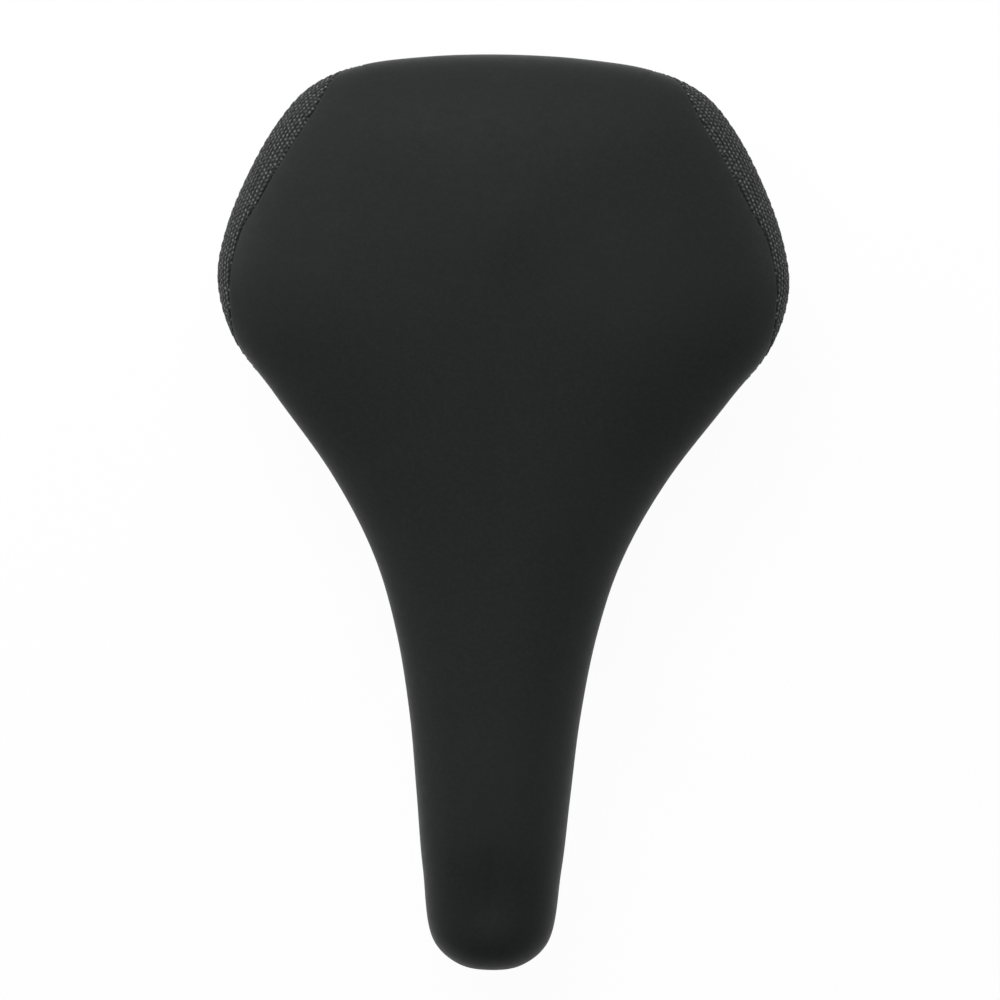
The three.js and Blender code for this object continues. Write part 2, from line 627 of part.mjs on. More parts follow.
const fasteners = new THREE.Group();
for (const [name, place] of Object.entries(SCREWS)) {
  const mesh = part(name, screw(), 'steel');
  mesh.position.set(...place);
  fasteners.add(mesh);
}
staplePlaces.forEach((place, i) => {
  const mesh = part(`staple_${String(i + 1).padStart(2, '0')}`, staple(), 'steel');
  mesh.applyMatrix4(place);
  fasteners.add(mesh);
});

const saddle = new THREE.Group().add(padding, frame, fasteners);
export default saddle;
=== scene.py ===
"""A padded bicycle saddle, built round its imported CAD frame.

The cover, the side panels, the foam and the base shell are drawn from the same lines as the CAD solids,
with finer sampling, so that each lies where its solid does. Only the cover is a little fuller than its
solid, round the nose. Lengths in the tables are in millimetres, in the frame's axes: +Z up, -Y towards
the nose, +X to the rider's left. Meshes are in metres.
"""
import json
import math

import bpy
import bmesh
import numpy as np
from mathutils import Matrix, Vector


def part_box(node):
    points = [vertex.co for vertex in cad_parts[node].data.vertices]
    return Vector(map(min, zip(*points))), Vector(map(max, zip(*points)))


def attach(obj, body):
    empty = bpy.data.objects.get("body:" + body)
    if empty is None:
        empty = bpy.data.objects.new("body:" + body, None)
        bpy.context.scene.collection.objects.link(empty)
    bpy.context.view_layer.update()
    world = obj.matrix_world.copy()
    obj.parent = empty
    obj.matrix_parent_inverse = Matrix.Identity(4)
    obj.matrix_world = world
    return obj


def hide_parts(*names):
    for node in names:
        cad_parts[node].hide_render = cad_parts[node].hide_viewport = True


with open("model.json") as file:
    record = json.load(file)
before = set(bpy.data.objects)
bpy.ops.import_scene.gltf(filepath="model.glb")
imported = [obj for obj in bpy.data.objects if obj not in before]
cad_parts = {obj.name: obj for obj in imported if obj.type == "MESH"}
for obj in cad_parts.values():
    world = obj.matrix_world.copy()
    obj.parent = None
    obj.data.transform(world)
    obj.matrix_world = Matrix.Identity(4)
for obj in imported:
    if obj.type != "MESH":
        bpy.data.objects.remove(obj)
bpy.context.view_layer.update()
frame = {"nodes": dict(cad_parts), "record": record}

MM = 0.001
BODY = "root"

# ---------- The saddle's lines, as in the CAD ----------

LENGTH = 270.0
WIDTH = 168.0
NOSE_WIDTH = 41.0
HEIGHT = 82.0
FIT_GAP = 0.3
COVER = 1.4  # thickness of the cover
FOAM_DEPTH = 14.0
SHELL_WALL = 2.6
RIB_THICKNESS = 2.0
RIB_DEPTH = 4.0
SHELL_POWER = 2.6  # of the shell's crown: 2 is an ellipse, and more is squarer
UNDER_COVER = COVER + FIT_GAP

RAIL_RADIUS = 3.5
BOSS_RADIUS = 3.3
LOOP_RADIUS = BOSS_RADIUS + 2 * FIT_GAP + RAIL_RADIUS
NOSE_TUCK = 3.0
NOSE_HEM = NOSE_WIDTH / 2 - NOSE_TUCK - LOOP_RADIUS - RAIL_RADIUS - 4 * FIT_GAP
FLANGE_ANGLE = math.radians(53)  # where the shell's flange starts on the curl

NOSE = NOSE_WIDTH / 2
WING = WIDTH / 2
PLAN = np.array([
    [0, -0.5, -0.433],
    [0.44 * NOSE, -0.4945, -0.43],
    [0.81 * NOSE, -0.4705, -0.42],
    [NOSE, -0.389, -0.367],
    [1.11 * NOSE, -0.307, -0.293],
    [1.23 * NOSE, -0.222, -0.207],
    [1.45 * NOSE, -0.13, -0.107],
    [0.438 * WING, -0.047, -0.004],
    [0.592 * WING, 0.041, 0.111],
    [0.8 * WING, 0.128, 0.2],
    [0.948 * WING, 0.191, 0.233],
    [WING, 0.25, 0.252],
    [0.974 * WING, 0.304, 0.267],
    [0.893 * WING, 0.369, 0.281],
    [0.793 * WING, 0.424, 0.294],
    [0.69 * WING, 0.46, 0.304],
    [0.528 * WING, 0.484, 0.313],
    [0.286 * WING, 0.496, 0.32],
    [0, 0.5, 0.324],
]) * [1, LENGTH, LENGTH]
MIRROR = [-1, 1, 1]
LOOP_POINTS = np.vstack([PLAN, PLAN[-2:0:-1] * MIRROR])

# The seam of a side panel: [share of the way from nose to tail, place on the section]. A place is 0 on
# the spine, 1 at the rim, 2 at the bottom of the curl and 3 at the end of the hem.
HEM_END = 3
PAST_HEM = 3.15
SEAM = np.array([
    [0.462, PAST_HEM], [0.47, 2.8], [0.486, 2], [0.508, 1.25], [0.525, 1.02], [0.545, 0.96], [0.565, 0.86],
    [0.59, 0.785], [0.625, 0.74], [0.665, 0.72], [0.7, 0.665], [0.75, 0.645], [0.8, 0.655], [0.83, 0.7],
    [0.85, 0.785], [0.868, 0.9], [0.884, 0.99], [0.895, 1.4], [0.912, 2.2], [0.93, 2.8],
    [0.936, PAST_HEM],
])


def line(*pairs):
    """A smooth line through [place along the length, value] pairs, flat at its two ends."""
    place, value = np.array(pairs, float).T
    slope = np.zeros(len(place))
    slope[1:-1] = (value[2:] - value[:-2]) / (place[2:] - place[:-2])

    def at(y):
        p = np.clip(y / LENGTH, place[0], place[-1])
        i = np.clip(np.searchsorted(place, p, side="right") - 1, 0, len(place) - 2)
        w = place[i + 1] - place[i]
        t = (p - place[i]) / w
        rise = value[i] * (1 + 2 * t) * (1 - t) ** 2 + value[i + 1] * t * t * (3 - 2 * t)
        return rise + w * t * (1 - t) * (slope[i] * (1 - t) - slope[i + 1] * t)

    return at


TOP_DROP = line([-0.433, 12.5], [-0.35, 9.3], [-0.2, 9], [-0.05, 8], [0.1, 5], [0.25, 1.5], [0.324, 0])
RIM_DROP = line([-0.5, 27], [-0.4, 25], [0, 24], [0.25, 20], [0.5, 18])
HEM_DROP = line([-0.5, 43.5], [-0.4, 46], [-0.2, 48], [0, 46.5], [0.25, 40], [0.5, 33.5])
TUCK = line([-0.5, NOSE_TUCK], [-0.3, NOSE_TUCK], [0, 6], [0.25, 8], [0.5, 8])
HEM_WIDTH = line([-0.5, NOSE_HEM], [-0.38, NOSE_HEM], [-0.28, 4.2], [0, 6.5], [0.25, 7.5], [0.5, 7])
CROWN_POWER = line([-0.5, 2.4], [-0.2, 2.5], [0.1, 3], [0.25, 3.4], [0.5, 3])
# The cover is stretched a little fuller than its solid round the nose, by less than a millimetre.
COVER_POWER = line([-0.5, 3.3], [-0.43, 3.0], [-0.3, 2.65], [-0.15, 2.55], [0.1, 3], [0.25, 3.4], [0.5, 3])


def catmull_rom(points, at, closed):
    """Points and tangents on a centripetal Catmull-Rom curve, at places counted in points."""
    n = len(points)
    i = np.floor(at).astype(int)
    if not closed:
        i = np.clip(i, 0, n - 2)
        points = np.vstack([2 * points[0] - points[1], points, 2 * points[-1] - points[-2]])
        i = i + 1
        n = len(points)
        w = (at - (i - 1))[:, None]
    else:
        w = (at - i)[:, None]
    p0, p1, p2, p3 = (points[(i + k) % n] for k in (-1, 0, 1, 2))
    spans = ((p0, p1), (p1, p2), (p2, p3))
    d0, d1, d2 = (np.sum((b - a) ** 2, axis=1)[:, None] ** 0.25 for a, b in spans)
    t1 = ((p1 - p0) / d0 - (p2 - p0) / (d0 + d1) + (p2 - p1) / d1) * d1
    t2 = ((p2 - p1) / d1 - (p3 - p1) / (d1 + d2) + (p3 - p2) / d2) * d1
    c2 = -3 * p1 + 3 * p2 - 2 * t1 - t2
    c3 = 2 * p1 - 2 * p2 + t1 + t2
    return p1 + t1 * w + c2 * w ** 2 + c3 * w ** 3, t1 + 2 * c2 * w + 3 * c3 * w ** 2


def outline(share):
    return catmull_rom(LOOP_POINTS, np.asarray(share) / 2 * len(LOOP_POINTS), True)


DENSE_SHARES = np.linspace(0, 1, 6001)
DENSE_RUN = np.concatenate([
    [0], np.cumsum(np.linalg.norm(np.diff(outline(DENSE_SHARES)[0][:, :2], axis=0), axis=1)),
])


def run_of(share):
    """Distance round the outline from the nose tip, in mm."""
    return np.interp(share, DENSE_SHARES, DENSE_RUN)


def share_at(run):
    return np.interp(run, DENSE_RUN, DENSE_SHARES)


SEAM_DENSE = catmull_rom(SEAM, np.linspace(0, len(SEAM) - 1, 1401), False)[0]


def seam_place(share):
    """The seam's place on the sections at these shares. It is past the hem where there is no side panel."""
    return np.interp(share, SEAM_DENSE[:, 0], SEAM_DENSE[:, 1], left=PAST_HEM, right=PAST_HEM)


class Stations:
    """The sections of the saddle at an array of shares, on the +X side."""

    def __init__(self, shares):
        self.share = np.asarray(shares, float)
        point, tangent = outline(self.share)
        turn = np.hypot(tangent[:, 0], tangent[:, 1])
        self.x = point[:, :1]
        self.y = point[:, 1:2]
        self.nx = (-tangent[:, 1] / turn)[:, None]
        self.ny = (tangent[:, 0] / turn)[:, None]
        on_axis = (self.share < 1e-9) | (self.share > 1 - 1e-9)
        self.x[on_axis] = 0
        self.nx[on_axis] = 0
        self.spine = point[:, 2:3]
        self.top = HEIGHT - TOP_DROP(self.spine)
        self.rim = HEIGHT - RIM_DROP(self.y)
        self.hem = HEIGHT - HEM_DROP(self.y)
        self.tuck = TUCK(self.y)
        self.hem_width = HEM_WIDTH(self.y)
        self.power = CROWN_POWER(self.y)
        self.fullness = COVER_POWER(self.y)
        # The shell stands on this inset from the outline, and its crown springs from this height.
        self.web = self.tuck + self.hem_width - SHELL_WALL
        self.seat = self.rim - (self.rim - self.hem - UNDER_COVER) * math.sin(FLANGE_ANGLE)

    def at(self, inset, z):
        x, y = self.x + self.nx * inset, self.y + self.ny * inset
        return np.stack(np.broadcast_arrays(x, y, z), axis=-1)

    def crown(self, inset, top, base, power, angle):
        """From the spine, at angle 0, out to the rim: flat in the middle and upright at the rim."""
        out = np.sin(angle) ** (2 / power)
        x = out * (self.x + self.nx * inset)
        y = self.spine + out * (self.y + self.ny * inset - self.spine)
        return np.stack(np.broadcast_arrays(x, y, base + (top - base) * np.cos(angle)), axis=-1)

    def curl(self, depth, angle):
        """Below the rim: a quarter ellipse that curls in under the edge."""
        inset = self.tuck - (self.tuck - depth) * np.cos(angle)
        return self.at(inset, self.rim - (self.rim - self.hem - depth) * np.sin(angle))

    def cover(self, place, depth=0.0):
        """Points of the cover at places on the sections, at a depth under its outside."""
        quarter = math.pi / 2
        over = np.clip(place, 0, 1) * quarter
        crown = self.crown(depth, self.top - depth, self.rim, self.fullness, over)
        curl = self.curl(depth, np.clip(place - 1, 0, 1) * quarter)
        hem = self.at(self.tuck + (place - 2) * self.hem_width, self.hem + depth)
        place = place[..., None]
        return np.where(place <= 1, crown, np.where(place <= 2, curl, hem))


# ---------- Mesh building ----------


def new_piece(name, points, faces, materials, material_of=None):
    """A smooth mesh object from points in mm. material_of gives each face's material slot."""
    mesh = bpy.data.meshes.new(name)
    mesh.from_pydata((np.asarray(points) * MM).tolist(), [], faces)
    for material in materials:
        mesh.materials.append(material)
    if material_of is not None:
        mesh.polygons.foreach_set("material_index", material_of)
    mesh.polygons.foreach_set("use_smooth", [True] * len(mesh.polygons))
    mesh.update()
    piece = bpy.data.objects.new(name, mesh)
    bpy.context.scene.collection.objects.link(piece)
    return piece


def grid_faces(rings, rows, closed_rings, closed_rows):
    """Quads of a grid of points numbered ring by ring."""
    i = np.arange(rings if closed_rings else rings - 1)
    k = np.arange(rows if closed_rows else rows - 1)
    a = (i[:, None] * rows + k).ravel()
    b = (i[:, None] * rows + (k + 1) % rows).ravel()
    c = (((i + 1) % rings)[:, None] * rows + (k + 1) % rows).ravel()
    d = (((i + 1) % rings)[:, None] * rows + k).ravel()
    return np.stack([a, b, c, d], axis=1)


def weld(piece, distance=1e-6):
    """Joins vertices that lie on each other, splits the many-sided faces that this leaves into well-shaped
    triangles, and turns every face outwards."""
    bm = bmesh.new()
    bm.from_mesh(piece.data)
    bmesh.ops.remove_doubles(bm, verts=bm.verts, dist=distance)
    bmesh.ops.dissolve_degenerate(bm, edges=bm.edges, dist=distance)
    many_sided = [face for face in bm.faces if len(face.verts) > 4]
    bmesh.ops.triangulate(bm, faces=many_sided, ngon_method="BEAUTY")
    bmesh.ops.recalc_face_normals(bm, faces=bm.faces)
    bm.to_mesh(piece.data)
    bm.free()
    piece.data.update()


def point_vectors(mesh, name, values):
    layer = mesh.attributes.new(name, "FLOAT_VECTOR", "POINT")
    layer.data.foreach_set("vector", np.asarray(values, np.float32).ravel())


def normals_of(grid):
    """Unit normals of a grid of points (rings, rows, 3), outwards: up on the crown."""
    along = np.gradient(grid, axis=0)
    down = np.gradient(grid, axis=1)
    normal = np.cross(down, along)
    return normal / np.maximum(np.linalg.norm(normal, axis=-1, keepdims=True), 1e-9)


SECTION_STEPS = 600


def section_runs(stations, first, last):
    """Places in even steps from the first to the last on each section, and the distance to each in mm."""
    places = first[:, None] + (last - first)[:, None] * np.linspace(0, 1, SECTION_STEPS)
    run = np.linalg.norm(np.diff(stations.cover(places), axis=1), axis=-1).cumsum(axis=1)
    return places, np.concatenate([np.zeros((len(run), 1)), run], axis=1)


def rows_by_length(stations, first, last, distances):
    """Rows of places on each section. distances turns the sections' lengths into each row's distance from
    the last place. Gives the places, those distances and the lengths."""
    places, run = section_runs(stations, first, last)
    total = run[:, -1]
    wanted = distances(total)
    rows = [np.interp(total[i] - wanted[i], run[i], places[i]) for i in range(len(run))]
    return np.array(rows), wanted, total


WAVES = 6


def bump_field(x, y, seed, scale):
    """Smooth wandering values from -1 to 1, the same on every run."""
    draws = np.random.default_rng(seed).uniform(0, 2 * math.pi, (WAVES, 2))
    total = np.zeros(np.broadcast(x, y).shape)
    for n, (turn, phase) in enumerate(draws):
        wave = 2 * math.pi / (scale * (0.7 + 0.25 * n))
        total += np.sin(wave * (x * math.cos(turn) + y * math.sin(turn)) + phase)
    return total / WAVES


# ---------- Materials ----------


WHITE = (1, 1, 1, 1)


class Nodes:
    """The node tree of a material or a world, with a short way to add and join nodes."""

    def __init__(self, owner, kind="Material"):
        self.owner = owner
        owner.use_nodes = True
        self.tree = owner.node_tree
        self.tree.nodes.clear()
        self.output = self.add("Output" + kind)

    def add(self, kind, inputs=None, **settings):
        node = self.tree.nodes.new("ShaderNode" + kind)
        for key, value in settings.items():
            setattr(node, key, value)
        for key, value in (inputs or {}).items():
            self.put(value, node.inputs[key])
        return node

    def put(self, value, socket):
        if isinstance(value, bpy.types.NodeSocket):
            self.tree.links.new(value, socket)
        else:
            socket.default_value = value

    def math(self, operation, *values):
        node = self.add("Math", operation=operation)
        for value, socket in zip(values, node.inputs):
            self.put(value, socket)
        return node.outputs[0]

    def between(self, value, low, high, to_low=0.0, to_high=1.0, way="SMOOTHSTEP"):
        return self.add("MapRange", {
            "Value": value, "From Min": low, "From Max": high, "To Min": to_low, "To Max": to_high,
        }, interpolation_type=way).outputs[0]

    def mix(self, factor, a, b):
        node = self.add("Mix", data_type="RGBA")
        for value, socket in zip((factor, a, b), (node.inputs[0], node.inputs[6], node.inputs[7])):
            self.put(value, socket)
        return node.outputs[2]

    def place(self):
        return self.add("TexCoord").outputs["Object"]

    def noise(self, place, scale, detail=3.0, roughness=0.5):
        return self.add("TexNoise", {
            "Vector": place, "Scale": scale, "Detail": detail, "Roughness": roughness,
        }).outputs[0]

    def cells(self, place, scale, feature="F1", smooth=0.5):
        node = self.add("TexVoronoi", {"Vector": place, "Scale": scale}, feature=feature)
        if feature == "SMOOTH_F1":
            node.inputs["Smoothness"].default_value = smooth
        return node.outputs["Distance"]

    def bump(self, height, strength, distance):
        return self.add("Bump", {"Height": height, "Strength": strength, "Distance": distance}).outputs[0]

    def surface(self, shader):
        self.put(shader, self.output.inputs["Surface"])
        return self.owner

    def shade(self, **inputs):
        names = {key.replace("_", " "): value for key, value in inputs.items()}
        return self.surface(self.add("BsdfPrincipled", names).outputs[0])


def new_material(name):
    return Nodes(bpy.data.materials.new(name))


def grey(level, tint=(1, 1, 1)):
    return (level * tint[0], level * tint[1], level * tint[2], 1)


COOL = (0.95, 1.035, 1.005)  # the tint of the blacks
CREAM = (1, 0.97, 0.88)


def smooth_leather():
    """Fine-grained matte synthetic leather."""
    n = new_material("smooth_leather")
    place = n.place()
    cloud = n.noise(place, 18, 3)
    fleck = n.noise(place, 900, 2, 0.6)
    colour = n.mix(n.between(cloud, 0.3, 0.7), grey(0.012, COOL), grey(0.014, COOL))
    colour = n.mix(n.between(fleck, 0.35, 0.75, 0, 0.35), colour, grey(0.02, COOL))
    grain = n.cells(place, 1150, "SMOOTH_F1", 0.6)
    pores = n.noise(place, 2300, 3, 0.65)
    height = n.math("ADD", n.math("MULTIPLY", grain, 0.75), n.math("MULTIPLY", pores, 0.5))
    rough = n.between(n.noise(place, 320, 3), 0.2, 0.8, 0.5, 0.6)
    return n.shade(
        Base_Color=colour, Roughness=rough, Normal=n.bump(height, 0.35, 0.00006),
        Specular_IOR_Level=0.08, Sheen_Weight=0.1, Sheen_Roughness=0.4,
    )


KNIT_ALONG = 1.5  # mm from nub to nub along a row
KNIT_ACROSS = 1.25  # and from row to row
GLINT_REACH = (0.38, 0.27)  # half the painted highlight on a nub, along and across
NUB_REACH = (0.68, 0.58)  # half a nub, where the painted shade of the valleys round it starts
STRAY = 0.17  # how far a nub's painted highlight and painted valley shade may lie off its middle


def knit():
    """Dark knit, with a painted highlight on each nub and painted shade in the valleys round the nubs. The
    "weave" values are the distance along the panel, the distance across it and the distance from its seam, in
    mm."""
    n = new_material("nubbed_knit")
    weave = n.add("Attribute", attribute_name="weave").outputs["Vector"]
    parts = n.add("SeparateXYZ", {"Vector": weave})
    along, across, from_seam = parts.outputs

    def off_centre(offsets, reach):
        squares = [n.math("POWER", n.math("DIVIDE", off, half), 2.0) for off, half in zip(offsets, reach)]
        return n.math("ADD", *squares)

    row_place = n.math("DIVIDE", across, KNIT_ACROSS)
    row = n.math("ROUND", row_place)
    shift = n.math("MULTIPLY", n.math("FLOORED_MODULO", row, 2.0), 0.5)
    nub_place = n.math("SUBTRACT", n.math("DIVIDE", along, KNIT_ALONG), shift)
    nub = n.math("ROUND", nub_place)
    which = n.add("CombineXYZ", {"X": row, "Y": nub}).outputs[0]
    chance = n.add("TexWhiteNoise", {"Vector": which}, noise_dimensions="2D")
    draws = n.add("SeparateXYZ", {"Vector": chance.outputs["Color"]})
    off_along = n.math("MULTIPLY", n.math("SUBTRACT", nub_place, nub), KNIT_ALONG)
    off_across = n.math("MULTIPLY", n.math("SUBTRACT", row_place, row), KNIT_ACROSS)
    offsets = [
        n.math("ADD", off, n.between(draws.outputs[k], 0.0, 1.0, -STRAY, STRAY))
        for k, off in enumerate((off_along, off_across))
    ]
    # Painted highlight: a light glint is painted on each nub, of random strength and brighter near the seam.
    painted_glint = n.between(off_centre(offsets, GLINT_REACH), 0.2, 1.5, 1.0, 0.0)
    glint_strength = n.between(chance.outputs["Value"], 0.0, 1.0, 0.2, 1.0)
    glint_near_seam = n.between(from_seam, 2.0, 7.0, 1.0, 0.55)
    painted_glint = n.math("MULTIPLY", n.math("MULTIPLY", painted_glint, glint_strength), glint_near_seam)
    # Painted shade: the yarn is painted darker in the valleys round each nub.
    painted_valley_shade = n.between(off_centre(offsets, NUB_REACH), 0.5, 1.1)
    yarn_and_valley_shade = n.mix(painted_valley_shade, grey(0.017, COOL), grey(0.004, COOL))
    colour = n.mix(painted_glint, yarn_and_valley_shade, grey(0.12, COOL))
    place = n.place()
    fibre = n.math("ADD", n.noise(place, 4200, 2), n.cells(place, 3200))
    return n.shade(
        Base_Color=colour, Roughness=0.8, Normal=n.bump(fibre, 0.5, 0.00008),
        Specular_IOR_Level=0.3, Sheen_Weight=0.22, Sheen_Roughness=0.4,
    )


def backing():
    """The woven back and cut edge of the cover material."""
    n = new_material("cover_backing")
    place = n.place()
    weave = n.math("ADD", n.cells(place, 1500), n.noise(place, 1800, 2))
    colour = n.mix(n.between(n.noise(place, 1500, 2), 0.3, 0.7), grey(0.02), grey(0.05))
    return n.shade(
        Base_Color=colour, Roughness=0.95, Normal=n.bump(weave, 0.6, 0.0001), Specular_IOR_Level=0.2,
    )


def foam_material():
    n = new_material("cut_foam")
    place = n.place()
    pores = n.cells(place, 1400)
    # Painted shade: each pore is painted darker towards its hollow middle.
    colour = n.mix(n.between(pores, 0.1, 0.7), grey(0.12, CREAM), grey(0.3, CREAM))
    return n.shade(
        Base_Color=colour, Roughness=0.95, Normal=n.bump(pores, 0.7, 0.0002), Specular_IOR_Level=0.2,
    )


def moulded_nylon():
    n = new_material("moulded_nylon")
    place = n.place()
    flow = n.noise(place, 30, 4)
    spark = n.noise(place, 2600, 3)
    colour = n.mix(n.between(flow, 0.3, 0.7), grey(0.01), grey(0.016))
    rough = n.between(n.noise(place, 140, 4), 0.25, 0.75, 0.38, 0.55)
    return n.shade(
        Base_Color=colour, Roughness=rough, Normal=n.bump(spark, 0.35, 0.00007), Specular_IOR_Level=0.5,
    )


def steel(name, level, rough):
    """Bare satin steel with fine marks."""
    n = new_material(name)
    place = n.place()
    marks = n.noise(place, 1600, 3, 0.6)
    blotch = n.noise(place, 90, 4)
    cold, warm = grey(level, (1, 1, 1.02)), grey(level * 1.15, (1, 0.99, 0.98))
    colour = n.mix(n.between(blotch, 0.3, 0.7), cold, warm)
    roughness = n.between(marks, 0.25, 0.75, rough - 0.06, rough + 0.08)
    return n.shade(
        Base_Color=colour, Metallic=1.0, Roughness=roughness, Normal=n.bump(marks, 0.12, 0.00003),
    )


def painted_metal():
    n = new_material("black_e_coat")
    place = n.place()
    peel = n.noise(place, 900, 2)
    worn = n.between(n.noise(place, 260, 5, 0.7), 0.62, 0.72)
    colour = n.mix(worn, grey(0.014), grey(0.035))
    return n.shade(
        Base_Color=colour, Roughness=0.42, Normal=n.bump(peel, 0.15, 0.00005), Specular_IOR_Level=0.5,
    )


def rubber():
    n = new_material("moulded_rubber")
    place = n.place()
    dust = n.noise(place, 600, 4)
    colour = n.mix(n.between(dust, 0.4, 0.8), grey(0.011), grey(0.022))
    return n.shade(
        Base_Color=colour, Roughness=0.8, Normal=n.bump(dust, 0.25, 0.00006), Specular_IOR_Level=0.35,
    )


LEATHER = smooth_leather()
KNIT = knit()
BACKING = backing()
FOAM = foam_material()
NYLON = moulded_nylon()
RAIL_STEEL = steel("rail_steel", 0.42, 0.3)
SCREW_STEEL = steel("screw_steel", 0.4, 0.32)
STAPLE_STEEL = steel("staple_steel", 0.55, 0.3)
E_COAT = painted_metal()
RUBBER = rubber()

# ---------- Cover ----------

STAPLES = sorted(name for name in frame["nodes"] if name.startswith("staple_"))


def middle_of(node):
    low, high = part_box(node)
    return np.array((low + high) / 2) / MM


STAPLE_PLACES = np.array([middle_of(name)[:2] for name in STAPLES])
STAPLE_PLACES = STAPLE_PLACES[STAPLE_PLACES[:, 0] > 0]

SEAM_ROLL = 0.5  # radius that a panel's edge turns in with at a seam
HEM_ROLL = 0.45
EDGE_ROWS = [0, 0.06, 0.16, 0.3, 0.48, 0.7, 1.0, 1.5, 2.2, 3.0, 4.0]
INNER_STEPS = 16
COVER_ROWS = 84
COVER_STATIONS = 340

# How strongly the hem gathers: [share of the way from nose to tail, strength].
GATHERS = np.array([
    [0, 1], [0.1, 0.9], [0.2, 0.35], [0.4, 0.3], [0.55, 0.55], [0.6, 0.8], [0.75, 1], [0.9, 0.8], [1, 0.5],
])


def rolled(distance, radius):
    """How far a rounded edge lies under the surface, at distances from the edge."""
    d = np.clip(radius - distance, 0, radius)
    return radius - np.sqrt(radius ** 2 - d ** 2)


def hem_relief(stations, place, run):
    """Small gathers where the cover is pulled round the edge of the shell, and the soft hem that stands
    out between the staples, in mm along the normal."""
    curve = np.interp(stations.share, *GATHERS.T)
    reach = np.clip((place - 1.35) / 0.9, 0, 1) ** 1.5
    wave = bump_field(run[:, None], place * 4, 11, 7.0) + 0.6 * bump_field(run[:, None], place * 3, 12, 3.6)
    points = stations.cover(np.full((len(run), 1), 2.5))[:, 0, :2]
    from_staple = np.min(np.linalg.norm(points[:, None] - STAPLE_PLACES[None], axis=-1), axis=1)[:, None]
    between = np.clip((from_staple - 3.5) / 5, 0, 1) ** 0.7
    across = np.clip(1 - ((place - 2.5) / 0.75) ** 2, 0, 1)
    return 0.42 * curve[:, None] * reach * wave + 0.55 * between * across


def shell_of(outer, inner):
    """Sections of a closed skin: its outside rows, then its inside rows back again."""
    return np.concatenate([outer, inner[:, ::-1]], axis=1)


def even_shares(count):
    """Shares at even steps along the outline from the nose to the tail, and those steps in mm."""
    runs = np.linspace(0, DENSE_RUN[-1], count)
    shares = share_at(runs)
    shares[0], shares[-1] = 0, 1
    return shares, runs


def both_halves(half):
    """The whole loop of sections from those of the +X half, whose ends are put on the middle plane."""
    half[:, [0, -1], 0] = 0
    half[[0, -1], :, 0] = 0
    return np.concatenate([half, half[-2:0:-1] * MIRROR])


def end_faces(rings, columns):
    """The two faces that close a tube of rings."""
    return [list(range(columns)), [(rings - 1) * columns + k for k in range(columns)]]


def inner_skin(stations, place):
    """The inside of a sheet, in fewer rows than its outside."""
    chosen = np.linspace(0, place.shape[1] - 1, INNER_STEPS).round().astype(int)
    return stations.cover(place[:, chosen], COVER)


def top_cover():
    """The smooth cover, a closed skin from the spine to the hem or the seam."""
    shares, runs = even_shares(COVER_STATIONS)
    s = Stations(shares)
    seam = seam_place(shares)

    def distances(total):
        edge = np.array(EDGE_ROWS)
        rest = np.linspace(0, 1, COVER_ROWS - len(edge) + 1)[1:]
        far = edge[-1] + (total[:, None] - edge[-1]) * rest
        return np.concatenate([np.broadcast_to(edge, (len(total), len(edge))), far], axis=1)[:, ::-1]

    place, from_edge, _ = rows_by_length(s, np.zeros(len(shares)), np.minimum(seam, HEM_END), distances)
    outside = s.cover(place)
    up = normals_of(outside)
    is_seam = np.clip((HEM_END - seam) * 20, 0, 1)[:, None]
    lift = -rolled(from_edge, 1.0) * (HEM_ROLL + (SEAM_ROLL - HEM_ROLL) * is_seam)
    lift = lift + hem_relief(s, place, runs) * np.clip(from_edge / 2, 0.3, 1)
    loop = both_halves(shell_of(outside + up * lift[..., None], inner_skin(s, place)))
    rings, columns = loop.shape[:2]
    faces = grid_faces(rings, columns, True, False)
    material_of = (faces[:, 0] % columns >= COVER_ROWS).astype(np.int32)
    piece = new_piece("top_cover", loop.reshape(-1, 3), faces.tolist(), [LEATHER, BACKING], material_of)
    weld(piece)
    return piece


PANEL_STEP = 0.27
PANEL_ROWS = 150
KNIT_WANDER = 0.3
NUB_HEIGHT = 0.44
KNIT_DEPTH = 0.25  # how far the knit between the nubs lies under the surface of the cover


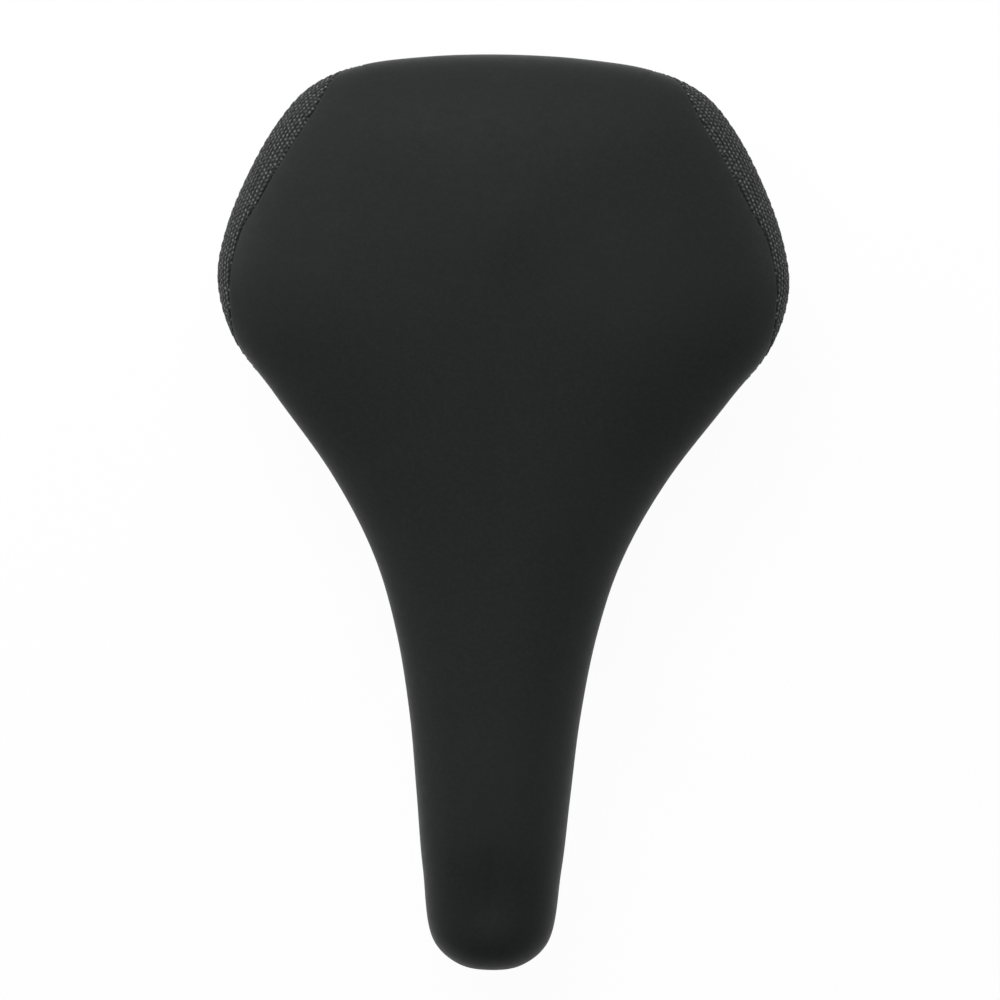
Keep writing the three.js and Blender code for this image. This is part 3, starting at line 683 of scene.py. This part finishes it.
def side_panel(name, side):
    """A panel of nubbed knit. Its relief is real: each nub stands up from the mesh."""
    ends = share_at(np.linspace(run_of(0.452), run_of(0.95), 4001))
    ends = ends[seam_place(ends) < 2.96]
    runs = np.arange(run_of(ends[0]), run_of(ends[-1]), PANEL_STEP)
    shares = share_at(runs)
    s = Stations(shares)
    hem = np.full(len(shares), float(HEM_END))

    def distances(total):
        return total[:, None] * np.linspace(1, 0, PANEL_ROWS)

    place, from_hem, total = rows_by_length(s, seam_place(shares), hem, distances)
    from_seam = total[:, None] - from_hem
    outside = s.cover(place)
    up = normals_of(outside)
    rim_to_hem = section_runs(s, np.ones(len(shares)), hem)[1][:, -1]
    across = from_hem - rim_to_hem[:, None]
    along = np.broadcast_to(runs[:, None], across.shape)
    along = along + KNIT_WANDER * bump_field(along, across, 3, 8)
    across = across + KNIT_WANDER * bump_field(along, across, 4, 9)
    row = np.round(across / KNIT_ACROSS)
    nub_place = along / KNIT_ALONG - 0.5 * np.mod(row, 2)
    nub = np.round(nub_place)
    du = (nub_place - nub) * KNIT_ALONG / (0.5 * KNIT_ALONG)
    dv = (across - row * KNIT_ACROSS) / (0.52 * KNIT_ACROSS)
    size = 1 + 0.18 * np.sin(row * 12.9898 + nub * 78.233)
    height = NUB_HEIGHT * size * np.sqrt(np.clip(1 - du ** 2 - dv ** 2, 0, 1))
    calm = np.clip(from_seam / 0.35, 0, 1) * np.clip(from_hem / 0.6, 0, 1)
    lift = height * calm - KNIT_DEPTH
    lift = lift - rolled(from_seam, 0.6) * SEAM_ROLL - rolled(from_hem, 1.0) * HEM_ROLL
    lift = lift + hem_relief(s, place, runs) * np.clip(from_hem / 2, 0.3, 1)
    sections = shell_of(outside + up * lift[..., None], inner_skin(s, place))
    values = np.zeros(sections.shape)
    values[:, :PANEL_ROWS] = np.stack([along, across, from_seam], axis=-1)
    values[:, PANEL_ROWS] = values[:, PANEL_ROWS - 1]
    values[:, -1] = values[:, 0]
    if side < 0:
        sections = sections * MIRROR
    rings, columns = sections.shape[:2]
    faces = grid_faces(rings, columns, False, True)
    column = faces[:, 0] % columns
    inside_face = (column >= PANEL_ROWS) & (column < columns - 1)
    material_of = np.concatenate([inside_face.astype(np.int32), [1, 1]])
    faces = faces.tolist() + end_faces(rings, columns)
    piece = new_piece(name, sections.reshape(-1, 3), faces, [KNIT, BACKING], material_of)
    point_vectors(piece.data, "weave", values.reshape(-1, 3))
    weld(piece, 1e-7)
    return piece


cover = top_cover()
panels = {"left": side_panel("knit_panel_left", 1), "right": side_panel("knit_panel_right", -1)}

# ---------- Foam, shell and hardware ----------


CROWN_ROWS = 26
QUARTER = math.pi / 2


def angles(first, last, count):
    return np.linspace(first, last, count)[None]


def shell_top(s, raise_by, rows):
    inset, top = s.web - raise_by, s.top - FOAM_DEPTH + raise_by
    return s.crown(inset, top, s.seat + raise_by, SHELL_POWER, angles(0, QUARTER, rows))


def foam_section(s):
    over = s.crown(UNDER_COVER, s.top - UNDER_COVER, s.rim, s.power, angles(0, QUARTER, CROWN_ROWS))
    side = s.curl(UNDER_COVER, angles(0, FLANGE_ANGLE, 9))[:, 1:]
    side[:, -1, 2] += FIT_GAP
    return np.concatenate([over, side, shell_top(s, 1.5 * FIT_GAP, 18)[:, ::-1]], axis=1)


def shell_section(s):
    edge = s.curl(UNDER_COVER, angles(FLANGE_ANGLE, QUARTER, 10))
    inside = s.crown(
        s.web + SHELL_WALL, s.top - FOAM_DEPTH - SHELL_WALL, s.hem + UNDER_COVER, SHELL_POWER,
        angles(0, QUARTER, CROWN_ROWS),
    )
    return np.concatenate([shell_top(s, 0, CROWN_ROWS), edge, inside[:, ::-1]], axis=1)


def under_crown(depth, floor):
    """All that lies under the shell's crown, from a depth inside it down to a floor."""
    def section(s):
        roof = s.crown(
            s.web + depth, s.top - FOAM_DEPTH - depth, s.seat, SHELL_POWER, angles(0, QUARTER, CROWN_ROWS),
        )
        level = floor(s) + np.zeros_like(s.x)
        wall = s.at(s.web + depth, level)
        middle = np.stack([0 * s.x, s.spine, level], axis=-1)
        return np.concatenate([roof, wall, middle], axis=1)
    return section


def body(name, points, faces, material=None):
    piece = new_piece(name, points, faces, [material] if material else [])
    weld(piece)
    return piece


def loft(name, section, material, count=300):
    """A closed body from its section at every station: section gives (stations, rows, 3) for the +X half."""
    loop = both_halves(section(Stations(even_shares(count)[0])))
    return body(name, loop.reshape(-1, 3), grid_faces(*loop.shape[:2], True, False).tolist(), material)


def cut_or_join(piece, other, operation):
    """Applies a Boolean to piece, and takes the other body away."""
    modifier = piece.modifiers.new("boolean", "BOOLEAN")
    modifier.object = other
    modifier.operation = operation
    modifier.solver = "MANIFOLD"
    graph = bpy.context.evaluated_depsgraph_get()
    made = bpy.data.meshes.new_from_object(piece.evaluated_get(graph))
    piece.modifiers.clear()
    old, piece.data = piece.data, made
    name = old.name
    bpy.data.meshes.remove(old)
    made.name = name
    bpy.data.objects.remove(other)


CUT_WELD = 1e-5  # metres: vertices that the cuts leave this close are one


def crease(piece, degrees=35):
    """Smooth shading, with edges sharper than this kept sharp."""
    weld(piece, CUT_WELD)
    mesh = piece.data
    mesh.polygons.foreach_set("use_smooth", [True] * len(mesh.polygons))
    mesh.set_sharp_from_angle(angle=math.radians(degrees))


def rounded_box(low, high, radius=0.0):
    (x0, y0, z0), (x1, y1, z1) = low, high
    points = [(x, y, z) for x in (x0, x1) for y in (y0, y1) for z in (z0, z1)]
    faces = [(0, 1, 3, 2), (4, 6, 7, 5), (0, 4, 5, 1), (2, 3, 7, 6), (0, 2, 6, 4), (1, 5, 7, 3)]
    piece = body("box", points, faces)
    if radius:
        bm = bmesh.new()
        bm.from_mesh(piece.data)
        bmesh.ops.bevel(bm, geom=bm.edges[:], offset=radius * MM, segments=3, profile=0.5, affect="EDGES")
        bm.to_mesh(piece.data)
        bm.free()
    return piece


def turned(name, profile, centre, axis, material=None, sides=48):
    """A closed body turned from [radius, height] pairs, about an axis through a centre."""
    a = np.arange(sides) * 2 * math.pi / sides
    profile = np.array(profile, float)
    ring = profile[None, :, 0] * np.cos(a)[:, None], profile[None, :, 0] * np.sin(a)[:, None]
    height = np.broadcast_to(profile[None, :, 1], ring[0].shape)
    order = {"z": (ring[0], ring[1], height), "y": (ring[0], height, ring[1])}[axis]
    points = np.stack(order, axis=-1) + centre
    closed = profile[0, 0] > 0
    return body(name, points.reshape(-1, 3), grid_faces(sides, len(profile), True, closed).tolist(), material)


def post(centre, z0, z1, radius, sides=48):
    return turned("post", [[0, z0], [radius, z0], [radius, z1], [0, z1]], (*centre, 0), "z", None, sides)


def bar_along_y(x, z, y0, y1, radius):
    return turned("bar", [[0, y0], [radius, y0], [radius, y1], [0, y1]], (x, 0, z), "y")


CORNER_STEPS = 9


def plate(name, centre, width, length, z0, z1, material, corner=4.0, edge=0.6):
    """A flat plate with rounded corners and broken edges."""
    turns = np.concatenate([np.linspace(k, k + 1, CORNER_STEPS) for k in range(4)]) * math.pi / 2
    sx = np.repeat([1, -1, -1, 1], CORNER_STEPS)
    sy = np.repeat([1, 1, -1, -1], CORNER_STEPS)
    levels = [
        (edge, z0), (0.3 * edge, z0 + 0.3 * edge), (0, z0 + edge),
        (0, z1 - edge), (0.3 * edge, z1 - 0.3 * edge), (edge, z1),
    ]
    rings = []
    for inset, z in levels:
        r = corner - inset
        x = centre[0] + sx * (width / 2 - corner) + r * np.cos(turns)
        y = centre[1] + sy * (length / 2 - corner) + r * np.sin(turns)
        rings.append(np.stack([x, y, np.full(len(turns), z)], axis=-1))
    faces = grid_faces(len(levels), len(turns), False, True).tolist() + end_faces(len(levels), len(turns))
    return body(name, np.concatenate(rings), faces, material)


RAIL_SPACING = 44.0
CLAMP_LENGTH = 70.0
RAIL_BEND = 16.0
BUSH_WALL = 1.8
BUSH_LENGTH = 17.0
BUSH_LIP = 1.5
BLOCK_LENGTH = 14.0
CAP_THICKNESS = 3.0
SCREW_RADIUS = 2.0
SCREW_HEAD_RADIUS = 3.8
SCREW_HEAD_HEIGHT = 2.4
SCREW_LENGTH = 11.0
SCREW_KEY = 2.5

TAIL_X = 34.0
TAIL_Z = HEIGHT - 36.0
NOSE_Z = HEIGHT - 38.5
BOSS_Y = -0.361 * LENGTH
PLATE_BACK = SCREW_HEAD_RADIUS + 1
PLATE_FRONT = LOOP_RADIUS + RAIL_RADIUS
BLOCK_Y = 0.359 * LENGTH
BLOCK_FRONT = BLOCK_Y - BLOCK_LENGTH / 2
BUSH_FRONT = BLOCK_FRONT - FIT_GAP - BUSH_LIP
BUSH_BACK = BUSH_FRONT + BUSH_LENGTH
RAIL_END = BUSH_BACK + 3


def bend_run(degrees):
    return RAIL_BEND * math.tan(math.radians(degrees / 2))


MOST_BEND = bend_run(65)
CLAMP_CORNER = CLAMP_LENGTH / 2 + bend_run(55)
NOSE_BEND = BOSS_Y + PLATE_BACK + MOST_BEND
BUSH_RADIUS = RAIL_RADIUS + FIT_GAP + BUSH_WALL
CAP_SCREW_X = BUSH_RADIUS + 2 * FIT_GAP + SCREW_RADIUS + 1.2
CAP_WIDTH = 2 * (CAP_SCREW_X + SCREW_HEAD_RADIUS + 0.5)
CAP_BOTTOM = TAIL_Z - BUSH_RADIUS - FIT_GAP - CAP_THICKNESS
PLATE_TOP = NOSE_Z - RAIL_RADIUS - FIT_GAP
SIDES = {"left": 1, "right": -1}

SCREWS = {"nose_screw": (0, BOSS_Y, PLATE_TOP - CAP_THICKNESS - FIT_GAP)}
for side, way in SIDES.items():
    for place, step in (("inner", -1), ("outer", 1)):
        x = way * (TAIL_X + step * CAP_SCREW_X)
        SCREWS[f"tail_screw_{side}_{place}"] = (x, BLOCK_Y, CAP_BOTTOM - FIT_GAP)


def between(a, b, share):
    return a + (b - a) * share


LOW_CORNER = 0.36  # share of the way from the nose bend to the front end of the clamp zone
RAIL_HALF = [
    (TAIL_X, RAIL_END, TAIL_Z, 0),
    (TAIL_X, BUSH_FRONT - MOST_BEND, TAIL_Z, RAIL_BEND),
    (RAIL_SPACING / 2, CLAMP_CORNER, RAIL_RADIUS, RAIL_BEND),
    (RAIL_SPACING / 2, -CLAMP_CORNER, RAIL_RADIUS, RAIL_BEND),
    (LOOP_RADIUS + 1, between(NOSE_BEND, -CLAMP_CORNER, LOW_CORNER),
     between(NOSE_Z, RAIL_RADIUS, LOW_CORNER), RAIL_BEND),
    (LOOP_RADIUS, NOSE_BEND, NOSE_Z, RAIL_BEND),
    (LOOP_RADIUS, BOSS_Y - LOOP_RADIUS, NOSE_Z, LOOP_RADIUS),
]


def bent_path(corners, step=0.07):
    """Points and directions along a path through corners [x, y, z, bend radius], rounded at each."""
    points = np.array([c[:3] for c in corners], float)
    ways = np.diff(points, axis=0)
    ways /= np.linalg.norm(ways, axis=1)[:, None]
    stops = [(points[0], ways[0])]
    for i in range(1, len(points) - 1):
        into, out, radius = ways[i - 1], ways[i], corners[i][3]
        turn = math.acos(np.clip(into @ out, -1, 1))
        inwards = out - into * math.cos(turn)
        inwards /= np.linalg.norm(inwards)
        start = points[i] - into * radius * math.tan(turn / 2)
        for a in np.linspace(0, turn, max(2, math.ceil(turn / step) + 1)):
            at = start + into * radius * math.sin(a) + inwards * radius * (1 - math.cos(a))
            stops.append((at, into * math.cos(a) + inwards * math.sin(a)))
    stops.append((points[-1], ways[-1]))
    return stops


def tube(name, stops, radius, material, sides=32, bevel=0.6):
    """A round bar along the stops, with its two ends broken."""
    (first, way), (last, last_way) = stops[0], stops[-1]
    rings = [(first, way, radius - bevel), (first + way * bevel * 0.3, way, radius - bevel * 0.3)]
    rings += [(first + way * bevel, way, radius)]
    rings += [(at, along, radius) for at, along in stops[1:-1]]
    rings += [(last - last_way * bevel, last_way, radius)]
    rings += [(last - last_way * bevel * 0.3, last_way, radius - bevel * 0.3)]
    rings += [(last, last_way, radius - bevel)]
    a = np.arange(sides) * 2 * math.pi / sides
    points = []
    for at, along, r in rings:
        across = np.cross([0, 0, 1], along)
        across /= np.linalg.norm(across)
        up = np.cross(along, across)
        points.append(at + r * (np.cos(a)[:, None] * across + np.sin(a)[:, None] * up))
    faces = grid_faces(len(rings), sides, False, True).tolist() + end_faces(len(rings), sides)
    return body(name, np.concatenate(points), faces, material)


def screw_holes(piece):
    for x, y, z in SCREWS.values():
        cut_or_join(piece, post((x, y), z - 1, z + SCREW_LENGTH + 1, SCREW_RADIUS + FIT_GAP), "DIFFERENCE")


def bush_hole(piece, way):
    hole = bar_along_y(way * TAIL_X, TAIL_Z, BLOCK_FRONT - 1, RAIL_END + 1, BUSH_RADIUS + FIT_GAP)
    cut_or_join(piece, hole, "DIFFERENCE")


# Where the ribs lie, in shares of the length. The middle one of the long ribs starts further forward.
CROSS_RIBS = (-0.14, 0.02, 0.18)
LONG_RIBS = {-0.085: 0.1, 0: -0.25, 0.085: 0.1}
LONG_RIBS_BACK = 0.45


def base_shell():
    """The tray, with its ribs, blocks and boss joined on and its holes cut."""
    shell = loft("shell_tray", shell_section, NYLON)
    roof = loft("roof", under_crown(SHELL_WALL / 2, lambda s: s.hem + UNDER_COVER + 1), NYLON)
    under = loft("under", under_crown(SHELL_WALL + RIB_DEPTH, lambda s: 0), NYLON)
    cut_or_join(roof, under, "DIFFERENCE")
    slabs = [((-WIDTH, y * LENGTH, 0), (WIDTH, y * LENGTH + RIB_THICKNESS, HEIGHT)) for y in CROSS_RIBS]
    slabs += [
        ((x * LENGTH - RIB_THICKNESS / 2, front * LENGTH, 0),
         (x * LENGTH + RIB_THICKNESS / 2, LONG_RIBS_BACK * LENGTH, HEIGHT))
        for x, front in LONG_RIBS.items()
    ]
    for low, high in slabs:
        rib = rounded_box(low, high)
        cut_or_join(rib, copy_of(roof), "INTERSECT")
        cut_or_join(shell, rib, "UNION")
    bpy.data.objects.remove(roof)
    blocks = [
        ((-WIDTH, BOSS_Y - 2 * LOOP_RADIUS, NOSE_Z + RAIL_RADIUS + FIT_GAP),
         (WIDTH, BOSS_Y + LOOP_RADIUS, HEIGHT)),
    ]
    blocks += [
        ((way * TAIL_X - CAP_WIDTH / 2, BLOCK_FRONT, TAIL_Z + FIT_GAP / 2),
         (way * TAIL_X + CAP_WIDTH / 2, BLOCK_FRONT + BLOCK_LENGTH, HEIGHT))
        for way in SIDES.values()
    ]
    for low, high in blocks:
        block = rounded_box(low, high, 0.9)
        cut_or_join(block, loft("hollow", under_crown(SHELL_WALL / 2, lambda s: 0), NYLON), "INTERSECT")
        cut_or_join(shell, block, "UNION")
    boss = post((0, BOSS_Y), PLATE_TOP + FIT_GAP, NOSE_Z + 2 * RAIL_RADIUS, BOSS_RADIUS)
    cut_or_join(shell, boss, "UNION")
    for way in SIDES.values():
        bush_hole(shell, way)
    screw_holes(shell)
    shell.data.materials.clear()
    shell.data.materials.append(NYLON)
    crease(shell, 30)
    return shell


def copy_of(piece):
    made = piece.copy()
    made.data = piece.data.copy()
    bpy.context.scene.collection.objects.link(made)
    return made


def screw(name, place):
    r, head, low = SCREW_RADIUS, SCREW_HEAD_RADIUS, -SCREW_HEAD_HEIGHT
    profile = [
        [0, low], [head - 0.9, low], [head - 0.45, low + 0.1], [head - 0.12, low + 0.4], [head, low + 0.8],
        [head, -0.15], [head - 0.15, 0], [r, 0], [r, SCREW_LENGTH - 1], [r - 1, SCREW_LENGTH],
        [0, SCREW_LENGTH],
    ]
    piece = turned(name, profile, (0, 0, 0), "z", SCREW_STEEL)
    cut_or_join(piece, post((0, 0), low - 1, -0.8, SCREW_KEY / math.sqrt(3), 6), "DIFFERENCE")
    piece.data.transform(Matrix.Translation(Vector(place) * MM))
    crease(piece)
    return piece


def bush(name, way):
    inner, outer, lip = RAIL_RADIUS + FIT_GAP / 2, BUSH_RADIUS, BUSH_RADIUS + BUSH_LIP
    y0, y1 = BUSH_FRONT, BUSH_BACK
    profile = [
        [inner, y0 + 0.3], [inner + 0.3, y0], [lip - 0.5, y0], [lip - 0.1, y0 + 0.15], [lip, y0 + 0.5],
        [lip, y0 + BUSH_LIP - 0.3], [lip - 0.3, y0 + BUSH_LIP], [outer, y0 + BUSH_LIP],
        [outer, y1 - 0.5], [outer - 0.5, y1], [inner + 0.3, y1], [inner, y1 - 0.3],
    ]
    piece = turned(name, profile, (way * TAIL_X, 0, TAIL_Z), "y", RUBBER)
    crease(piece, 50)
    return piece


def tail_cap(name, way):
    centre = (way * TAIL_X, BLOCK_Y)
    piece = plate(name, centre, CAP_WIDTH, BLOCK_LENGTH, CAP_BOTTOM, TAIL_Z - FIT_GAP / 2, E_COAT)
    bush_hole(piece, way)
    screw_holes(piece)
    crease(piece)
    return piece


def nose_plate(name):
    centre = (0, BOSS_Y + (PLATE_BACK - PLATE_FRONT) / 2)
    size = 2 * (LOOP_RADIUS + RAIL_RADIUS), PLATE_BACK + PLATE_FRONT
    piece = plate(name, centre, *size, PLATE_TOP - CAP_THICKNESS, PLATE_TOP, E_COAT)
    screw_holes(piece)
    crease(piece)
    return piece


foam = loft("foam_core", foam_section, FOAM, 200)
shell = base_shell()
rail_corners = RAIL_HALF + [(-x, y, z, r) for x, y, z, r in RAIL_HALF[::-1]]
rail = tube("rail_round", bent_path(rail_corners), RAIL_RADIUS, RAIL_STEEL)
crease(rail, 40)
HARDWARE = {
    "foam_pad": foam, "base_shell": shell, "rail_wire": rail, "nose_plate": nose_plate("nose_clamp_plate"),
}
for side, way in SIDES.items():
    HARDWARE[f"tail_bush_{side}"] = bush(f"bush_{side}", way)
    HARDWARE[f"tail_cap_{side}"] = tail_cap(f"cap_{side}", way)
for name, place in SCREWS.items():
    HARDWARE[name] = screw(name.replace("screw", "bolt"), place)

# ---------- Materials of the CAD nodes that stay ----------

LOOKS = {
    "foam": FOAM, "shell": NYLON, "rail_steel": RAIL_STEEL, "clamp_steel": E_COAT, "screw_steel": SCREW_STEEL,
    "staple_steel": STAPLE_STEEL, "bush_rubber": RUBBER, "smooth_cover": LEATHER, "textured_panel": KNIT,
}
for part in frame["record"]["subparts"]:
    node = frame["nodes"][part["node"]]
    node.data.materials.clear()
    node.data.materials.append(LOOKS[part["material_slot"]])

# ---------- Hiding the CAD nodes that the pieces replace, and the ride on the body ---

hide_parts("cover_top")
for side, panel in panels.items():
    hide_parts(f"side_panel_{side}")
for node, piece in HARDWARE.items():
    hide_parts(node)
for piece in [cover, *panels.values(), *HARDWARE.values()]:
    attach(piece, BODY)

# ---------- Floor, light and camera ----------


FLOOR_SIZE = 6.0  # metres each way from the middle
FLOOR_Z = -0.0005
FLOOR_WHITE = 0.95  # share of plain white in the floor that the camera sees: the rest takes the shadow
ROOM_STRENGTH = 0.28

LAMP_TARGET = (0, 0, 0.05)
LAMPS = [  # name, place and size in metres, power in watts
    ("softbox_high", (-0.2, 0.6, 1.25), (1.0, 0.8), 12),
    ("softbox_rear", (-0.2, 1.3, 0.6), (1.2, 0.6), 2.6),
    ("card_left", (-1.0, 0.5, 0.35), (0.8, 0.4), 9.6),
    ("card_right", (1.0, 0.5, 0.35), (0.8, 0.4), 6),
]


def studio_floor():
    mesh = bpy.data.meshes.new("floor")
    corners = [(x * FLOOR_SIZE, y * FLOOR_SIZE, FLOOR_Z) for x, y in ((-1, -1), (1, -1), (1, 1), (-1, 1))]
    mesh.from_pydata(corners, [], [(0, 1, 2, 3)])
    floor = bpy.data.objects.new("floor", mesh)
    bpy.context.scene.collection.objects.link(floor)
    n = new_material("white_floor")
    paper = n.add("BsdfDiffuse", {"Color": grey(0.86)}).outputs[0]
    white = n.add("Emission", {"Color": WHITE, "Strength": 1.0}).outputs[0]
    path = n.add("LightPath")
    seen = n.math("MAXIMUM", path.outputs["Is Camera Ray"], path.outputs["Is Transmission Ray"])
    seen = n.math("MAXIMUM", seen, path.outputs["Is Glossy Ray"])
    mixed = n.add("MixShader", {0: n.math("MULTIPLY", seen, FLOOR_WHITE), 1: paper, 2: white})
    mesh.materials.append(n.surface(mixed.outputs[0]))


def studio_world():
    """An even room that is white to the camera. Gloss sees some of that white, most of it low down."""
    world = bpy.data.worlds.new("studio")
    bpy.context.scene.world = world
    n = Nodes(world, "World")
    room = n.add("Background", {"Color": WHITE, "Strength": ROOM_STRENGTH}).outputs[0]
    white = n.add("Background", {"Color": WHITE, "Strength": 1.0}).outputs[0]
    path = n.add("LightPath")
    seen = n.math("MAXIMUM", path.outputs["Is Camera Ray"], path.outputs["Is Transmission Ray"])
    height = n.add("SeparateXYZ", {0: n.add("TexCoord").outputs["Generated"]}).outputs["Z"]
    low = n.between(height, 0.05, 0.5, 0.3, 0.0, "LINEAR")
    glossy = n.math("MULTIPLY", path.outputs["Is Glossy Ray"], low)
    n.surface(n.add("MixShader", {0: n.math("MAXIMUM", seen, glossy), 1: room, 2: white}).outputs[0])


def softbox(name, place, size, power):
    light = bpy.data.lights.new(name, "AREA")
    light.shape = "RECTANGLE"
    light.size, light.size_y = size
    light.energy = power
    lamp = bpy.data.objects.new(name, light)
    bpy.context.scene.collection.objects.link(lamp)
    lamp.location = place
    lamp.rotation_euler = (Vector(LAMP_TARGET) - Vector(place)).to_track_quat("-Z", "Y").to_euler()
    lamp.visible_camera = False


def look_down():
    """Straight down from above, with the nose at the bottom of the picture."""
    turn = math.radians(1.1)
    rim_plane, distance = 0.060, 1.2
    camera = bpy.data.cameras.new("camera")
    camera.sensor_width = 36
    camera.lens = 146.5
    seen = bpy.data.objects.new("camera", camera)
    bpy.context.scene.collection.objects.link(seen)
    right, up = 0.00032, 0.0041
    seen.location = (
        right * math.cos(turn) - up * math.sin(turn),
        right * math.sin(turn) + up * math.cos(turn),
        rim_plane + distance,
    )
    seen.rotation_euler = (0, 0, turn)
    bpy.context.scene.camera = seen


studio_floor()
studio_world()
for lamp in LAMPS:
    softbox(*lamp)
look_down()
bpy.context.scene.view_settings.view_transform = "Standard"
